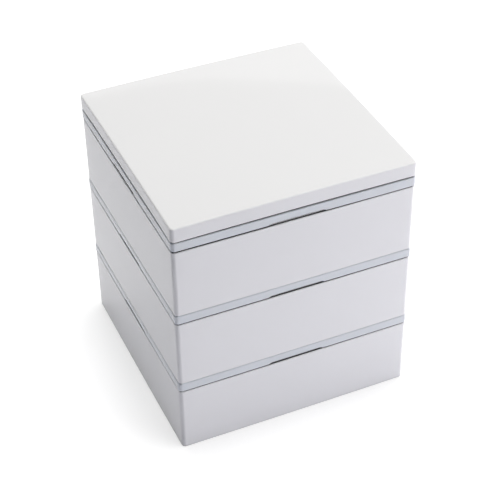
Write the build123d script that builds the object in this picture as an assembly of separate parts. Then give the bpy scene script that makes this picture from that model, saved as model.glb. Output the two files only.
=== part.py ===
"""Stacking box of three square tiers, each closed by a press-on seal lid, under one lacquered lid.

Millimetres. +Z is up, the origin is on the axis of the stack at the surface that it stands on.
"""
from build123d import *
import os

# The stack
box_width = 180.0            # across the flat sides of the tiers and the lid
corner_radius = 3.0          # upright outer corners
inner_corner_radius = 5.0    # upright corners of every hollow
tier_side_height = 54.2      # lacquered side of a tier, foot to shoulder
band_height = 7.9            # shoulder of a tier to the flat that carries what stands on it
levels = ("bottom", "middle", "top")
sides = 4
quarter_turn = 90            # degrees

# Tier
wall = 3.2
floor_thickness = 2.4
foot_width = 4.4             # ring that the tier stands on
foot_height = 2.5            # how far the floor is kept off the surface below
foot_edge_bevel = 0.5
shoulder_edge_bevel = 0.8
lip_setback = 1.5            # side of the tier to the outside of the lip's bead
lip_bead_height = 2.4
lip_undercut = 0.6           # neck below the bead
lip_edge_bevel = 0.25

# Seal lid
seal_overhang = 0.1          # the skirt stands out past the tier's shoulder
seal_skin = 1.4              # roof over the lip, and panel
seal_edge_bevel = 0.55
skirt_gap = 0.6              # open line between shoulder and skirt
snap_height = 1.0            # ring inside the skirt's lower edge that grips the bead
snap_reach = 0.15
plug_wall = 1.2              # wall inside the lip
plug_depth = 4.2
plateau_rise = 1.6           # raised middle that keeps the next tier in place
plateau_edge_bevel = 0.4
notch_length = 38.0          # finger notch in the middle of each side of the skirt
notch_slope = 2.4            # run of the notch's slanting ends
notch_height = 1.3
notch_corner_radius = 1.2

# Lid
lid_side_height = 10.8
lid_gap = 1.1                # open line under the lid's side
lid_wall = 2.8
lid_top_thickness = 2.2
lid_edge_radius = 1.2
lid_crown = 0.25             # middle of the top above the middle of its edges
lid_hollow_bevel = 1.5
lid_step_height = 3.0        # thick inner rim that rests on the seal lid

# Fits and cutting
fit_clearance = 0.3          # seal lid to lip, each side
nest_clearance = 0.4         # raised middle to foot ring or lid rim, each side
least_radius = 0.5           # smallest upright corner that is moulded
overrun = 1.0                # how far a cut runs past what it cuts

# Worked out from the sizes above
storey_height = tier_side_height + band_height
lip_height = band_height - seal_skin
floor_level = foot_height + floor_thickness
foot_inner_width = box_width - 2 * foot_width
lip_width = box_width - 2 * lip_setback
hollow_width = box_width - 2 * wall
plateau_width = foot_inner_width - 2 * nest_clearance
plateau_corner = inner_corner_radius - nest_clearance


def smaller(radius, inset):
    """Corner radius of a square that lies inside another by an inset."""
    return max(radius - inset, least_radius)


def slab(width, radius, low, high):
    """Square block with round upright corners, from one height to another."""
    outline = Pos(0, 0, low) * RectangleRounded(width, width, radius)
    return extrude(outline, high - low)


def pocket(width, radius, low, high):
    """Square block whose upright corners and bottom edge are round with the same radius."""
    block = Pos(0, 0, (low + high) / 2) * Box(width, width, high - low)
    return fillet(block.edges().filter_by(Axis.Z) + lowest_edges(block), radius)


def lowest_edges(shape):
    return shape.edges().group_by(Axis.Z)[0]


def highest_edges(shape):
    return shape.edges().group_by(Axis.Z)[-1]


def tier_lip():
    """Neck and bead that the seal lid snaps over, solid across, standing on the shoulder."""
    neck_width = lip_width - 2 * lip_undercut
    lip_corner = smaller(corner_radius, lip_setback)
    top = tier_side_height + lip_height
    neck = slab(neck_width, smaller(lip_corner, lip_undercut), tier_side_height, top)
    bead = slab(lip_width, lip_corner, top - lip_bead_height, top)
    return neck + bead


def tier():
    """Tray with a foot ring, a shoulder and a beaded lip, standing at height zero."""
    top = tier_side_height + lip_height
    body = slab(box_width, corner_radius, 0, tier_side_height)
    body = chamfer(lowest_edges(body), foot_edge_bevel)
    body = chamfer(highest_edges(body), shoulder_edge_bevel)
    hollow = pocket(hollow_width, inner_corner_radius, floor_level, top + overrun)
    recess = slab(foot_inner_width, inner_corner_radius, -overrun, foot_height)
    tray = body + tier_lip() - hollow - recess
    return chamfer(highest_edges(tray), lip_edge_bevel)


def finger_notch(low):
    """Shallow gap with slanting ends, cut up into one side of the skirt from its lower edge."""
    half = notch_length / 2
    spread = notch_slope * (notch_height + overrun) / notch_height
    corners = [
        (-half - spread, low - overrun),
        (-half, low + notch_height),
        (half, low + notch_height),
        (half + spread, low - overrun),
    ]
    outline = make_face(Polyline(*corners, close=True))
    outline = fillet(outline.vertices().group_by(Axis.Y)[-1], notch_corner_radius)
    inner_side = hollow_width / 2
    outer_side = box_width / 2 + seal_overhang + overrun
    return Pos(0, -inner_side, 0) * extrude(Plane.XZ * outline, outer_side - inner_side)


def seal_lid():
    """Press-on lid: skirt, channel over the lip, plug wall and raised panel, at its tier's height."""
    shoulder = tier_side_height
    rim_top = shoulder + band_height
    roof = rim_top - seal_skin
    skirt_low = shoulder + skirt_gap
    plug_low = roof - plug_depth
    skirt_hole = lip_width + 2 * fit_clearance
    skirt_corner = smaller(corner_radius, lip_setback) + fit_clearance
    plug_width = hollow_width - 2 * fit_clearance
    plug_corner = smaller(inner_corner_radius, fit_clearance)

    skirt = slab(box_width + 2 * seal_overhang, corner_radius + seal_overhang, skirt_low, rim_top)
    skirt = chamfer(highest_edges(skirt), seal_edge_bevel)
    skirt -= slab(skirt_hole, skirt_corner, skirt_low + snap_height, roof)
    snap_hole = skirt_hole - 2 * snap_reach
    skirt -= slab(snap_hole, smaller(skirt_corner, snap_reach), skirt_low - overrun, skirt_low + snap_height)
    plug = slab(plug_width, plug_corner, plug_low, roof)
    plateau = slab(plateau_width, plateau_corner, roof, rim_top + plateau_rise)
    plateau = chamfer(highest_edges(plateau), plateau_edge_bevel)
    lid_body = skirt + plug + plateau
    lid_body -= slab(plug_width - 2 * plug_wall, smaller(plug_corner, plug_wall), plug_low - overrun, roof)
    lid_body -= slab(
        plateau_width - 2 * seal_skin,
        smaller(plateau_corner, seal_skin),
        plug_low - overrun,
        rim_top + plateau_rise - seal_skin,
    )
    for side in range(sides):
        lid_body -= Rot(0, 0, quarter_turn * side) * finger_notch(skirt_low)
    return lid_body


def cover():
    """Lacquered lid, hollow below, with a thick inner rim; its rim rests at height zero."""
    top_edge = lid_gap + lid_side_height
    hollow_top = top_edge - lid_top_thickness
    step_top = lid_gap + lid_step_height
    wall_hole = box_width - 2 * lid_wall
    rim_hole = plateau_width + 2 * nest_clearance

    block = slab(box_width, corner_radius, lid_gap, top_edge + lid_crown + overrun)
    half = box_width / 2
    crown_radius = (half ** 2 + lid_crown ** 2) / (2 * lid_crown)
    block &= Pos(0, 0, top_edge + lid_crown - crown_radius) * Rot(quarter_turn, 0, 0) * Sphere(crown_radius)
    block = fillet(highest_edges(block), lid_edge_radius)    # runs on round the corners, which lie a little lower
    rim = slab(wall_hole, smaller(corner_radius, lid_wall), 0, step_top)
    hollow = slab(wall_hole, inner_corner_radius, step_top, hollow_top)
    hollow = chamfer(highest_edges(hollow), lid_hollow_bevel)
    rim_opening = slab(rim_hole, inner_corner_radius, -overrun, step_top)
    return block + rim - hollow - rim_opening


os.makedirs("parts", exist_ok=True)
one_tier = tier()
one_seal_lid = seal_lid()
for storey, level in enumerate(levels):
    place = Pos(0, 0, storey * storey_height)
    export_step(place * one_tier, f"parts/{level}_tier.step")
    export_step(place * one_seal_lid, f"parts/{level}_seal_lid.step")
export_step(Pos(0, 0, len(levels) * storey_height) * cover(), "parts/lid.step")
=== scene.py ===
import math
import bpy
import numpy as np
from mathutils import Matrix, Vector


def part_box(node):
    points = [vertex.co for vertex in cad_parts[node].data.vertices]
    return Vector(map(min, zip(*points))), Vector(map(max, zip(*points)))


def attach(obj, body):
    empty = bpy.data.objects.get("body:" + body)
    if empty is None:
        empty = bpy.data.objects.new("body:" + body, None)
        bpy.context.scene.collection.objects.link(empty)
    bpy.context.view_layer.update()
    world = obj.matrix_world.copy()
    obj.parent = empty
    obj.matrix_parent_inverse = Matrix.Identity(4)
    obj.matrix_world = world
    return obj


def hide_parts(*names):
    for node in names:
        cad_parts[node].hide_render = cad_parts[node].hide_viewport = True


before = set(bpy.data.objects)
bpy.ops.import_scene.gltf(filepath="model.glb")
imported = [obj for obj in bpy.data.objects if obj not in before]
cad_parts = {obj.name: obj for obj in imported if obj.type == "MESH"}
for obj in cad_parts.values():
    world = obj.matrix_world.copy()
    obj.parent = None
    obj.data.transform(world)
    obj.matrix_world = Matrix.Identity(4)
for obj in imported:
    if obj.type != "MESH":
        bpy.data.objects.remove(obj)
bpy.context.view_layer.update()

MM = 0.001
LEVELS = ("bottom", "middle", "top")
SIDES = 4

# Grid
SIDE_STEPS = 16
CORNER_STEPS = 14
ARC_STEPS = 6
SUPPORT = 0.06             # rows this near to an arc keep the flats beside it flat
LEAST_CORNER = 0.5

HALF_WIDTH = 90.0          # axis to the flat sides of the trays and the cover

# Half widths of the square cores that the upright corners turn about
OUTER_CORE = 87.0
HOLLOW_CORE = 81.8
NEST_CORE = 80.6
COVER_HOLLOW_CORE = 82.2

# Trays
TIER_BULGE = 0.3           # corners of the sides lie this much behind the middles of the sides
TIER_SIDE_INSIDE = 89.0    # what lies farther out is the side
SHOULDERS = {"bottom": 54.0, "middle": 53.95, "top": 53.6}

# Seal lids: height and rounding of the upper edge
SEAL_EDGES = {"bottom": (62.08, 1.5), "middle": (62.08, 1.5), "top": (61.6, 0.8)}
SKIRT_LOW = 55.0
SKIRT_INSIDE = 88.6        # what lies farther out is the skirt
SKIRT_GIVE = 4.0           # height over which the skirt's rows give way to its lower edge
SEAL_SAG = 0.45            # the top seal's lower edge sinks by this much towards +X
SAG_START = -10.0
SAG_RUN = 60.0

# Finger notch in the middle of each side of a skirt
NOTCH_HALF_FLAT = 19.0
NOTCH_SLOPE = 2.4
NOTCH_HEIGHT = 1.2
NOTCH_SOFT_TOP = 0.35
NOTCH_SOFT_FOOT = 0.12
NOTCH_END_PLACES = np.arange(18.0, 22.6, 0.3)
NOTCH_FLAT_PLACES = (6.0, 12.0, 16.0)

# Cover
COVER_TOP = 11.9
COVER_SIDE_INSIDE = 89.0
COVER_CROWN = 0.25         # middle of the top above the middles of its edges
COVER_CROWN_LOW = 9.9      # the crown grows from this height upwards
COVER_ROLL = 0.04          # edges of the top sink by this much more
COVER_ROLL_REACH = 5.0
COVER_DROOP = 0.4          # corners of the cover sink by this much
RIM_DROOP = 0.4            # and so do those of its lower edge
RIM_FRONT = 0.35           # which sinks by this much more at the corner between -X and -Y
RIM_LEFT = 0.8             # and lies this much higher along -X
RIM_HIGH = 4.0             # from here upwards the lower edge's shape gives way to the corners'
RIM_GIVE = 4.0


def side_shares(close_places):
    """Places along a side as shares of its straight half, -1 to 1, with close ones where asked."""
    close = np.asarray(close_places) / OUTER_CORE
    even = np.linspace(-1, 1, SIDE_STEPS + 1)
    return np.unique(np.concatenate([even, close, -close]).round(6))


def rounded_square(shares):
    """Two directions for each point of a ring round a square with round corners.

    A point is core * corner + rounding * outward. Along a side the first runs over the unit
    square's edge and the second stands square to it; round a corner the first stays and the
    second turns by a quarter circle.
    """
    turn = np.linspace(0, np.pi / 2, CORNER_STEPS + 1)[1:-1]
    edge = np.stack([shares, -np.ones_like(shares)], axis=1)
    corner = np.concatenate([edge, np.tile([1.0, -1.0], (len(turn), 1))])
    square_out = np.tile([0.0, -1.0], (len(shares), 1))
    outward = np.concatenate([square_out, np.stack([np.sin(turn), -np.cos(turn)], axis=1)])
    quarter = np.array([[0.0, -1.0], [1.0, 0.0]])
    turns = [np.linalg.matrix_power(quarter, k) for k in range(SIDES)]
    return (
        np.concatenate([corner @ t.T for t in turns]),
        np.concatenate([outward @ t.T for t in turns]),
    )


def rounded_section(stations):
    """Rows (half width, core, height) of a cross-section.

    A station is (half width, core, height, rounding). Each rounded one becomes an arc that touches
    both of its lines: the arc's centre lies on the line between them at rounding / sin(half the
    angle), and its points swing from one touching point to the other.
    """
    stations = np.asarray(stations, float)
    rows = []
    for before, here, after in zip(stations[:-2], stations[1:-1], stations[2:]):
        point, rounding, core = here[[0, 2]], here[3], here[1]
        if rounding == 0:
            rows.append([point[0], core, point[1]])
            continue
        back = before[[0, 2]] - point
        on = after[[0, 2]] - point
        back, on = back / np.linalg.norm(back), on / np.linalg.norm(on)
        half_angle = np.arccos(np.clip(back @ on, -1, 1)) / 2
        middle = (back + on) / np.linalg.norm(back + on)
        centre = point + middle * rounding / np.sin(half_angle)
        reach = rounding / np.tan(half_angle)
        first, last = point + back * reach - centre, point + on * reach - centre
        swing = np.pi - 2 * half_angle
        share = np.linspace(0, 1, ARC_STEPS + 1)[:, None]
        from_first = np.sin((1 - share) * swing) * first
        arc = centre + (from_first + np.sin(share * swing) * last) / np.sin(swing)
        before_arc = point + back * (reach + SUPPORT)
        after_arc = point + on * (reach + SUPPORT)
        arc = np.concatenate([[before_arc], arc, [after_arc]])
        rows += np.stack([arc[:, 0], np.full(len(arc), core), arc[:, 1]], axis=1).tolist()
    ends = stations[[0, -1]][:, :3].tolist()
    return np.array([ends[0], *rows, ends[1]])


def closed_shell(name, rows, base, shares, bend):
    """Closed surface on a grid of rows and ring points.

    A point is core * corner + (half width - core) * outward at the row's height. The first and the
    last row lie in the axis and become one point each. bend takes the points' places in plan, their
    heights and their rows' half widths, may move the places, and gives the new heights.
    """
    corner, outward = rounded_square(shares)
    half, core, height = rows[1:-1].T
    core = np.minimum(core, half - LEAST_CORNER)
    flat = core[:, None, None] * corner + (half - core)[:, None, None] * outward
    level = np.repeat(height[:, None], len(corner), axis=1)
    level = bend(flat, level, half[:, None])
    grid = np.concatenate([flat, level[..., None]], axis=2)
    low, high = [0, 0, rows[0, 2]], [0, 0, rows[-1, 2]]
    points = np.concatenate([[low], grid.reshape(-1, 3), [high]])
    points[:, 2] += base

    count, around = grid.shape[:2]
    index = 1 + np.arange(count * around).reshape(count, around)
    beside = np.roll(index, -1, axis=1)
    walls = np.stack([index[:-1], beside[:-1], beside[1:], index[1:]], axis=-1).reshape(-1, 4)
    floor = np.stack([np.zeros(around, int), beside[0], index[0]], axis=-1)
    roof = np.stack([index[-1], beside[-1], np.full(around, len(points) - 1)], axis=-1)
    mesh = bpy.data.meshes.new(name)
    faces = floor.tolist() + walls.tolist() + roof.tolist()
    mesh.from_pydata((points * MM).tolist(), [], faces)
    mesh.shade_smooth()
    mesh.update()
    piece = bpy.data.objects.new(name, mesh)
    bpy.context.scene.collection.objects.link(piece)
    return piece


def soft_least(a, b, blend):
    """The lesser of two values, with a parabola of the given width where they cross."""
    return np.minimum(a, b) - np.maximum(blend - np.abs(a - b), 0) ** 2 / (4 * blend)


def notch_rise(along):
    """Height of the finger notch at a distance from the middle of a side.

    It is a flat with a slanting end each way: height * (half flat + slope - distance) / slope,
    between nothing and the notch's height, with both corners softened.
    """
    slant = (NOTCH_HALF_FLAT + NOTCH_SLOPE - np.abs(along)) * NOTCH_HEIGHT / NOTCH_SLOPE
    flat_top = soft_least(slant, NOTCH_HEIGHT, NOTCH_SOFT_TOP)
    return -soft_least(-flat_top, 0.0, NOTCH_SOFT_FOOT)


def skirt_give(flat, level):
    """1 - height over the skirt's lower edge / give, kept to 0 to 1, and 0 off the skirt."""
    in_skirt = np.abs(flat).max(axis=2) > SKIRT_INSIDE
    return np.clip(1 - (level - SKIRT_LOW) / SKIRT_GIVE, 0, 1) * in_skirt


def cut_notches(flat, level, half):
    """Skirt rows rise by the notch's height at the lower edge, and by less the higher they are."""
    along = np.abs(flat).min(axis=2)
    return level + notch_rise(along) * skirt_give(flat, level)


def cut_and_press(flat, level, half):
    """The notches, and a skirt that sinks towards +X by sag * smooth step of the run along x."""
    share = np.clip((flat[..., 0] - SAG_START) / SAG_RUN, 0, 1)
    sag = SEAL_SAG * share ** 2 * (3 - 2 * share) * skirt_give(flat, level)
    return cut_notches(flat, level, half) - sag


def bulge_sides(flat, level, half):
    """Outer walls draw in towards the corners by bulge * (distance along / half side) squared."""
    along, reach = np.abs(flat).min(axis=2), np.abs(flat).max(axis=2)
    draw = TIER_BULGE * (along / HALF_WIDTH) ** 2 * (reach > TIER_SIDE_INSIDE)
    flat *= (1 - draw / reach)[..., None]
    return level


def crown_top(flat, level, half):
    """Crowned top with sinking corners, over an uneven lower edge.

    Top rows rise by crown * (1 - distance from the axis squared / half side squared), less the
    roll of the edges, roll * exp(-distance from the edge / reach). Corners sink by droop times the
    square of x * y / half side squared. The lower edge has its own droop, one more towards the
    front corner, and a rise along -X that fades towards both ends with the fourth power of y.
    """
    x, y = flat[..., 0], flat[..., 1]
    crown = COVER_CROWN * (1 - (flat ** 2).sum(axis=2) / HALF_WIDTH ** 2)
    roll = COVER_ROLL * np.exp(-(HALF_WIDTH - half) / COVER_ROLL_REACH)
    top_share = np.clip((level - COVER_CROWN_LOW) / (COVER_TOP - COVER_CROWN_LOW), 0, 1)
    corner = (x * y / HALF_WIDTH ** 2) ** 2
    front = (np.clip(-flat.sum(axis=2), 0, None) / (2 * HALF_WIDTH)) ** 2
    left = (x < -COVER_SIDE_INSIDE) * (1 - (y / HALF_WIDTH) ** 4)
    rim = RIM_DROOP * corner + RIM_FRONT * front - RIM_LEFT * left
    upper_share = np.clip((level - RIM_HIGH) / RIM_GIVE, 0, 1)
    droop = rim * (1 - upper_share) + COVER_DROOP * corner * upper_share
    return level + top_share * (crown - roll) - np.clip(level, 0, 1) * droop


def tier_section(shoulder):
    """Cross-section of a tray, from the middle of its underside to the middle of its floor."""
    return rounded_section([
        (0, 0, 2.5, 0),
        (85.6, NEST_CORE, 2.5, 0.8),            # foot ring
        (85.6, NEST_CORE, 0, 0.3),
        (HALF_WIDTH, OUTER_CORE, 0, 0.15),      # side
        (HALF_WIDTH, OUTER_CORE, shoulder, 0.7),
        (89.1, OUTER_CORE, shoulder, 0.1),      # groove behind the shoulder
        (89.0, OUTER_CORE, 52.4, 0.2),
        (87.9, OUTER_CORE, 52.4, 0.3),          # lip's neck and bead
        (87.9, OUTER_CORE, 58.3, 0.15),
        (88.5, OUTER_CORE, 58.3, 0.2),
        (88.5, OUTER_CORE, 60.7, 0.4),
        (86.8, HOLLOW_CORE, 60.7, 0.4),         # hollow
        (86.8, HOLLOW_CORE, 4.9, 5.0),
        (0, 0, 4.9, 0),
    ])


def seal_section(edge_top, edge_rounding):
    """Cross-section of a seal lid, from the middle of its underside to the middle of its top."""
    return rounded_section([
        (0, 0, 62.3, 0),
        (83.8, NEST_CORE, 62.3, 0.8),           # under the raised middle
        (83.8, NEST_CORE, 60.7, 0.3),
        (85.3, HOLLOW_CORE, 60.7, 0.3),         # wall inside the lip
        (85.3, HOLLOW_CORE, 56.5, 0.25),
        (86.5, HOLLOW_CORE, 56.5, 0.5),
        (86.5, HOLLOW_CORE, 60.5, 0.3),         # channel over the lip
        (88.4, OUTER_CORE, 60.5, 0.2),
        (88.8, OUTER_CORE, 60.1, 0.2),
        (88.8, OUTER_CORE, 55.9, 0.06),         # ring inside the lower edge
        (88.65, OUTER_CORE, 55.9, 0.06),
        (88.65, OUTER_CORE, SKIRT_LOW, 0.2),
        (HALF_WIDTH, OUTER_CORE, SKIRT_LOW, 0.2),    # skirt
        (89.95, OUTER_CORE, edge_top, edge_rounding),
        (87.3, OUTER_CORE, edge_top, 0.02),     # flat that carries what stands on it
        (87.2, OUTER_CORE, 62.1, 0.02),
        (85.2, NEST_CORE, 62.1, 0.4),           # raised middle
        (85.2, NEST_CORE, 63.7, 0.6),
        (0, 0, 63.7, 0),
    ])


def cover_section():
    """Cross-section of the cover, from the middle of its underside to the middle of its top."""
    top_rows = [
        (half, half * OUTER_CORE / HALF_WIDTH, COVER_TOP, 0)
        for half in (87, 84, 80, 74, 66, 56, 44, 30, 15, 5)
    ]
    return rounded_section([
        (0, 0, 9.7, 0),
        (87.2, COVER_HOLLOW_CORE, 9.7, 2.5),    # hollow
        (87.2, COVER_HOLLOW_CORE, 4.1, 0.3),
        (85.6, NEST_CORE, 4.1, 0.3),            # thick inner rim
        (85.6, NEST_CORE, 0, 0.4),
        (87.2, OUTER_CORE, 0, 0.4),
        (87.2, OUTER_CORE, 1.0, 0.2),
        (HALF_WIDTH, OUTER_CORE, 1.0, 0.3),     # side
        (HALF_WIDTH, OUTER_CORE, COVER_TOP, 1.2),
        *top_rows,
        (0, 0, COVER_TOP + COVER_CROWN, 0),
    ])


# Materials

def link(tree, source, output, node, socket):
    tree.links.new(source.outputs[output], node.inputs[socket])


def make(tree, kind, settings=(), **sockets):
    """New node with its settings and its sockets' values; underscores stand for spaces."""
    node = tree.nodes.new(kind)
    for key, value in dict(settings).items():
        setattr(node, key, value)
    for key, value in sockets.items():
        node.inputs[key.replace("_", " ")].default_value = value
    return node


def empty_tree(owner):
    """Node tree of a material or world, with nothing in it."""
    owner.use_nodes = True
    owner.node_tree.nodes.clear()
    return owner.node_tree


def add_up(tree, path, *rays):
    """1 for each of the named kinds of ray, two or more, and 0 for the others."""
    total, output = path, rays[0]
    for ray in rays[1:]:
        step = make(tree, "ShaderNodeMath", {"operation": "ADD", "use_clamp": True})
        link(tree, total, output, step, 0)
        link(tree, path, ray, step, 1)
        total, output = step, "Value"
    return total


def choose(tree, share, output, first, second):
    """The first shader where the share is 0, the second where it is 1."""
    mixed = make(tree, "ShaderNodeMixShader")
    link(tree, share, output, mixed, "Fac")
    link(tree, first, 0, mixed, 1)
    link(tree, second, 0, mixed, 2)
    return mixed


def clouded_colour_with_painted_shade(tree, shader, dark, light, scale, painted_shade_reach, painted_shade_low, painted_shade_high):
    """Colour that drifts between two tones, with painted shade: ambient occlusion darkens it where
    another surface is near.
    """
    place = make(tree, "ShaderNodeTexCoord")
    cloud = make(tree, "ShaderNodeTexNoise", Scale=scale, Detail=2.0, Roughness=0.5)
    tone = make(tree, "ShaderNodeMix", {"data_type": "RGBA"}, A=(*dark, 1), B=(*light, 1))
    link(tree, place, "Object", cloud, "Vector")
    link(tree, cloud, "Fac", tone, "Factor")
    # Painted shade: the base colour darkens in gaps and creases, where ambient occlusion finds another
    # surface within the reach.
    near = make(tree, "ShaderNodeAmbientOcclusion", {"samples": 8}, Distance=painted_shade_reach)
    shade = make(
        tree, "ShaderNodeMapRange", {"interpolation_type": "SMOOTHSTEP"},
        From_Min=painted_shade_low, From_Max=painted_shade_high,
    )
    link(tree, near, "AO", shade, "Value")
    deep = make(tree, "ShaderNodeMix", {"data_type": "RGBA", "blend_type": "MULTIPLY"}, Factor=1)
    link(tree, tone, "Result", deep, "A")
    link(tree, shade, "Result", deep, "B")
    link(tree, deep, "Result", shader, "Base Color")
    return place


def skin(tree, shader, place, wave_scale, wave_depth, grain_scale, grain_depth):
    """Bump of two layers: long waves of the moulding under a fine grain of the finish."""
    wave = make(tree, "ShaderNodeTexNoise", Scale=wave_scale, Detail=1.0, Roughness=0.4)
    grain = make(tree, "ShaderNodeTexNoise", Scale=grain_scale, Detail=2.0, Roughness=0.5)
    wave_bump = make(tree, "ShaderNodeBump", Strength=1.0, Distance=wave_depth)
    grain_bump = make(tree, "ShaderNodeBump", Strength=1.0, Distance=grain_depth)
    link(tree, place, "Object", wave, "Vector")
    link(tree, place, "Object", grain, "Vector")
    link(tree, wave, "Fac", wave_bump, "Height")
    link(tree, grain, "Fac", grain_bump, "Height")
    link(tree, wave_bump, "Normal", grain_bump, "Normal")
    link(tree, grain_bump, "Normal", shader, "Normal")


def white_lacquer():
    """Glossy white lacquer over moulded resin."""
    material = bpy.data.materials.new("white_lacquer")
    tree = empty_tree(material)
    shader = make(tree, "ShaderNodeBsdfPrincipled", Roughness=0.04, IOR=1.5)
    output = make(tree, "ShaderNodeOutputMaterial")
    link(tree, shader, "BSDF", output, "Surface")
    # Painted shade in the lacquer's base colour where another surface lies within 4 mm.
    place = clouded_colour_with_painted_shade(
        tree, shader, dark=(0.852, 0.85, 0.85), light=(0.864, 0.862, 0.862), scale=22.0,
        painted_shade_reach=4.0 * MM, painted_shade_low=0.2, painted_shade_high=0.65,
    )
    skin(
        tree, shader, place, wave_scale=14.0, wave_depth=0.004 * MM,
        grain_scale=300.0, grain_depth=0.00015 * MM,
    )
    return material


def seal_plastic():
    """Pale translucent soft plastic with a satin skin."""
    material = bpy.data.materials.new("seal_plastic")
    tree = empty_tree(material)
    shader = make(
        tree, "ShaderNodeBsdfPrincipled", Roughness=0.17, IOR=1.5, Subsurface_Weight=0.2,
        Subsurface_Radius=(1.0, 1.1, 1.3), Subsurface_Scale=2.0 * MM,
    )
    output = make(tree, "ShaderNodeOutputMaterial")
    link(tree, shader, "BSDF", output, "Surface")
    # Painted shade in the plastic's base colour where another surface lies within 2.2 mm.
    place = clouded_colour_with_painted_shade(
        tree, shader, dark=(0.70, 0.732, 0.764), light=(0.74, 0.767, 0.80), scale=30.0,
        painted_shade_reach=2.2 * MM, painted_shade_low=0.15, painted_shade_high=0.5,
    )
    skin(
        tree, shader, place, wave_scale=30.0, wave_depth=0.012 * MM,
        grain_scale=900.0, grain_depth=0.003 * MM,
    )
    return material


# Studio, in metres

FLOOR_HALF = 6.0
FLOOR_LEVEL = -0.00005
FLOOR_PAINT = (0.9, 0.907, 1.0)
FLOOR_SEEN_PAINT = 0.79         # paint's tone where it is looked at, under the glow
FLOOR_GLOW = 0.58               # brings the seen paint up to white
# Painted contact shadow on the floor near the box, from ambient occlusion in the seen paint
FLOOR_PAINTED_SHADOW_REACH = 0.05      # painted contact shadow: the seen paint darkens within this distance of the box
FLOOR_PAINTED_SHADOW_OPEN = 0.5        # openness of the floor right beside the box
FLOOR_PAINTED_SHADOW_TONE = 0.65
FLOOR_LIT_REACH = (0.4, 0.9)    # between these distances the seen floor goes over to plain white


def studio_floor():
    """Pale floor: matt paint that keeps the box's shadow, brought up to white where it is seen, with a
    painted contact shadow near the box.
    """
    mesh = bpy.data.meshes.new("floor")
    ring = [(-1, -1), (1, -1), (1, 1), (-1, 1)]
    corners = [(x * FLOOR_HALF, y * FLOOR_HALF, FLOOR_LEVEL) for x, y in ring]
    mesh.from_pydata(corners, [], [(0, 1, 2, 3)])
    floor = bpy.data.objects.new("floor", mesh)
    bpy.context.scene.collection.objects.link(floor)
    material = bpy.data.materials.new("floor_paint")
    tree = empty_tree(material)

    # Painted contact shadow: ambient occlusion darkens the seen paint near the box.
    near = make(tree, "ShaderNodeAmbientOcclusion", {"samples": 8}, Distance=FLOOR_PAINTED_SHADOW_REACH)
    painted_shadow = make(
        tree, "ShaderNodeMapRange", From_Min=FLOOR_PAINTED_SHADOW_OPEN, To_Min=FLOOR_PAINTED_SHADOW_TONE,
    )
    link(tree, near, "AO", painted_shadow, "Value")
    tone = (FLOOR_SEEN_PAINT, FLOOR_SEEN_PAINT, FLOOR_SEEN_PAINT, 1)
    shade = make(
        tree, "ShaderNodeMix", {"data_type": "RGBA", "blend_type": "MULTIPLY"}, Factor=1, A=tone,
    )
    link(tree, painted_shadow, "Result", shade, "B")
    seen_paint = make(tree, "ShaderNodeBsdfDiffuse")
    link(tree, shade, "Result", seen_paint, "Color")
    glow = make(tree, "ShaderNodeEmission", Color=(1, 1, 1, 1), Strength=FLOOR_GLOW)
    seen_near = make(tree, "ShaderNodeAddShader")
    link(tree, seen_paint, "BSDF", seen_near, 0)
    link(tree, glow, "Emission", seen_near, 1)

    place = make(tree, "ShaderNodeTexCoord")
    distance = make(tree, "ShaderNodeVectorMath", {"operation": "LENGTH"})
    link(tree, place, "Object", distance, 0)
    far = make(
        tree, "ShaderNodeMapRange", {"interpolation_type": "SMOOTHSTEP"},
        From_Min=FLOOR_LIT_REACH[0], From_Max=FLOOR_LIT_REACH[1],
    )
    link(tree, distance, "Value", far, "Value")
    white = make(tree, "ShaderNodeEmission", Color=(1, 1, 1, 1), Strength=1.0)
    seen = choose(tree, far, "Result", seen_near, white)

    paint = make(tree, "ShaderNodeBsdfDiffuse", Color=(*FLOOR_PAINT, 1))
    path = make(tree, "ShaderNodeLightPath")
    direct = add_up(tree, path, "Is Camera Ray", "Is Glossy Ray", "Is Transmission Ray")
    output = make(tree, "ShaderNodeOutputMaterial")
    link(tree, choose(tree, direct, "Value", paint, seen), "Shader", output, "Surface")
    mesh.materials.append(material)


BACKDROP_EDGE = math.sin(math.radians(31.0))    # backdrop's upper edge over the horizon
BACKDROP_EDGE_SOFT = 0.002
CEILING_TONE = 0.45


def studio_world():
    """White to look at; mirror rays meet a white backdrop under a dimmer ceiling, matt ones nothing."""
    world = bpy.data.worlds.new("studio")
    bpy.context.scene.world = world
    tree = empty_tree(world)
    way = make(tree, "ShaderNodeTexCoord")
    split = make(tree, "ShaderNodeSeparateXYZ")
    link(tree, way, "Generated", split, "Vector")
    edge = make(
        tree, "ShaderNodeMapRange", {"interpolation_type": "SMOOTHSTEP"},
        From_Min=BACKDROP_EDGE - BACKDROP_EDGE_SOFT, From_Max=BACKDROP_EDGE + BACKDROP_EDGE_SOFT,
        To_Min=1.0, To_Max=CEILING_TONE,
    )
    link(tree, split, "Z", edge, "Value")
    unlit = make(tree, "ShaderNodeBackground", Strength=0.0)
    mirror = make(tree, "ShaderNodeBackground", Color=(1, 1, 1, 1))
    link(tree, edge, "Result", mirror, "Strength")
    white = make(tree, "ShaderNodeBackground", Color=(1, 1, 1, 1), Strength=1.0)
    path = make(tree, "ShaderNodeLightPath")
    for_mirror = choose(tree, path, "Is Glossy Ray", unlit, mirror)
    direct = add_up(tree, path, "Is Camera Ray", "Is Transmission Ray")
    output = make(tree, "ShaderNodeOutputWorld")
    link(tree, choose(tree, direct, "Value", for_mirror, white), "Shader", output, "Surface")


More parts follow.
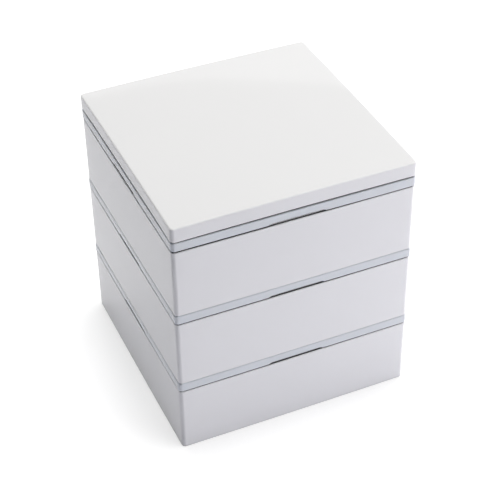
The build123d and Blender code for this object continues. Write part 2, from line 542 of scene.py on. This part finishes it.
COOL = (0.985, 0.975, 1.0)
WARM = (1.0, 0.998, 0.99)
LAMPS = {
    # name: (place, size, watts, colour)
    "near_side_softbox": ((1.1, -0.5, 0.45), 0.7, 4.0, COOL),
    "key_softbox": ((0.9, -1.05, 0.5), 0.8, 6.2, COOL),
    "front_softbox": ((0.5, -1.6, 0.25), 0.4, 1.0, COOL),
    "top_softbox": ((0.2, 0.3, 2.2), 1.8, 45.0, WARM),
    "back_softbox": ((0.1, 1.6, 0.6), 0.9, 4.0, WARM),
}
MIRRORED_LAMP = "front_softbox"     # the only one that shows in the gloss
AIM = (0.0, 0.0, 0.1)


def studio_lamps():
    """Square soft lamps that all point at the box and don't show themselves."""
    for name, (place, size, watts, colour) in LAMPS.items():
        lamp = bpy.data.lights.new(name, "AREA")
        lamp.shape = "SQUARE"
        lamp.size = size
        lamp.energy = watts
        lamp.color = colour
        stand = bpy.data.objects.new(name, lamp)
        stand.visible_camera = False
        stand.visible_glossy = name == MIRRORED_LAMP
        away = np.array(place) - np.array(AIM)
        flat = math.hypot(away[0], away[1])
        stand.location = place
        stand.rotation_euler = (math.atan2(flat, away[2]), 0, math.atan2(away[0], -away[1]))
        bpy.context.scene.collection.objects.link(stand)


def photo_camera():
    """Camera at the photograph's viewing angle, fitted to the box's corners and seams."""
    camera = bpy.data.cameras.new("camera")
    camera.sensor_width = 36.0
    camera.lens = 102.877
    stand = bpy.data.objects.new("camera", camera)
    stand.location = (-0.331228, -0.772407, 0.750815)
    stand.rotation_euler = (0.902547, 0.011841, -0.419091)
    bpy.context.scene.collection.objects.link(stand)
    bpy.context.scene.camera = stand


def place_piece(piece, node, material):
    """The piece stands in for a node, and rides on the body of the same name."""
    piece.data.materials.append(material)
    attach(piece, node)
    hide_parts(node)


notched = side_shares([*NOTCH_END_PLACES, *NOTCH_FLAT_PLACES])
plain = side_shares([])
lacquer = white_lacquer()
plastic = seal_plastic()
for level in LEVELS:
    tier_node, seal_node = f"{level}_tier", f"{level}_seal_lid"
    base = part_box(tier_node)[0].z / MM
    tray_rows, seal_rows = tier_section(SHOULDERS[level]), seal_section(*SEAL_EDGES[level])
    tray = closed_shell(f"{level}_tray", tray_rows, base, plain, bulge_sides)
    place_piece(tray, tier_node, lacquer)
    press = cut_and_press if level == "top" else cut_notches
    seal = closed_shell(f"{level}_seal", seal_rows, base, notched, press)
    place_piece(seal, seal_node, plastic)
cover_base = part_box("lid")[0].z / MM
cover = closed_shell("cover", cover_section(), cover_base, plain, crown_top)
place_piece(cover, "lid", lacquer)

studio_floor()
studio_world()
studio_lamps()
photo_camera()
bpy.context.scene.view_settings.view_transform = "Standard"
